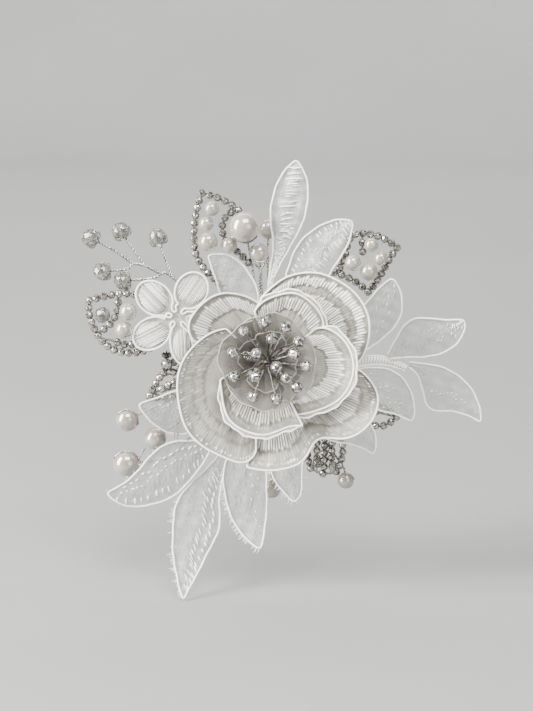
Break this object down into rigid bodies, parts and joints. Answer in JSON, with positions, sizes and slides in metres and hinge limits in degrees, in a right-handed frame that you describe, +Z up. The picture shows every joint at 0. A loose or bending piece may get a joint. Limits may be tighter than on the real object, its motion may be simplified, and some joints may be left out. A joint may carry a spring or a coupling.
{
  "type": "flower hair clip",
  "caption": "Ivory bridal flower hair clip: lace rose and leaves, rhinestone-chain leaves, wired pearls and a crystal sprig on a sprung alligator clip.",
  "frame": {"origin": "on the clip's front arm, behind the middle of the flower, where the hair is gripped", "axes": "+Z up the flower as it is worn, +Y towards the head, +X to the right as the flower is looked at; the flower faces -Y"},
  "size_m": [0.1082, 0.0408, 0.1176],
  "materials": {
    "lace": "embroidered ivory organza",
    "petal": "ivory satin stitch",
    "organza": "sheer ivory organza",
    "felt": "ivory felt",
    "nickel": "nickel plate",
    "silver_chain": "silver plate",
    "silver_wire": "silver-plated wire",
    "rhinestone": "cut clear glass",
    "crystal": "cut clear glass",
    "pearl": "pearl lacquer",
    "black_glass": "cut black glass"
  },
  "bodies": {
    "spray": {"bead_pin": "silver_wire", "binding_coil": "silver_wire", "black_bead": "black_glass", "clip_upper_arm": "nickel", "cup_petal_bottom": "organza", "cup_petal_left": "organza", "cup_petal_right": "organza", "cup_petal_top": "organza", "felt_cover_strip": "felt", "felt_pad": "felt", "hinge_pin": "nickel", "lace_leaf_bottom": "lace", "lace_leaf_bottom_left": "lace", "lace_leaf_bottom_right": "lace", "lace_leaf_bottom_small": "lace", "lace_leaf_left_small": "lace", "lace_leaf_lower_left": "lace", "lace_leaf_right": "lace", "lace_leaf_right_long": "lace", "lace_leaf_right_small": "lace", "lace_leaf_right_upper": "lace", "lace_leaf_top": "lace", "lace_leaf_top_right": "lace", "lace_leaf_upper_left": "lace", "lace_spray_stem": "lace", "large_pearl": "pearl", "leaf_crystals": "crystal", "leaf_pearls": "pearl", "pearl_wires": "silver_wire", "rhinestone_frame_bottom": "silver_chain", "rhinestone_frame_left": "silver_chain", "rhinestone_frame_lower_left": "silver_chain", "rhinestone_frame_right": "silver_chain", "rhinestone_frame_upper_left": "silver_chain", "rhinestone_frame_upper_right": "silver_chain", "rhinestones_bottom": "rhinestone", "rhinestones_left": "rhinestone", "rhinestones_lower_left": "rhinestone", "rhinestones_right": "rhinestone", "rhinestones_upper_left": "rhinestone", "rhinestones_upper_right": "rhinestone", "rose_petal_left": "petal", "rose_petal_lower": "petal", "rose_petal_right_inner": "petal", "rose_petal_right_outer": "petal", "rose_petal_top_right": "petal", "rose_petal_upper": "petal", "rose_petal_upper_left": "petal", "rose_seat": "felt", "small_blossom": "lace", "sprig_crystals": "crystal", "sprig_wires": "silver_wire", "stamen_cups": "silver_wire", "stamen_stones": "rhinestone", "stamen_wires": "silver_wire", "torsion_spring": "nickel", "wired_pearls": "pearl"},
    "jaw": {"clip_lower_jaw": "nickel"}
  },
  "joints": [
    {"name": "jaw_hinge", "type": "hinge", "parent": "spray", "child": "jaw", "pos_m": [0, 0.0044, 0.0045], "axis": [1, 0, 0], "range_deg": [0, 35], "stiffness_Nm_per_rad": 0.03, "springref_deg": -68.75, "deforming": ["torsion_spring"]}
  ]
}
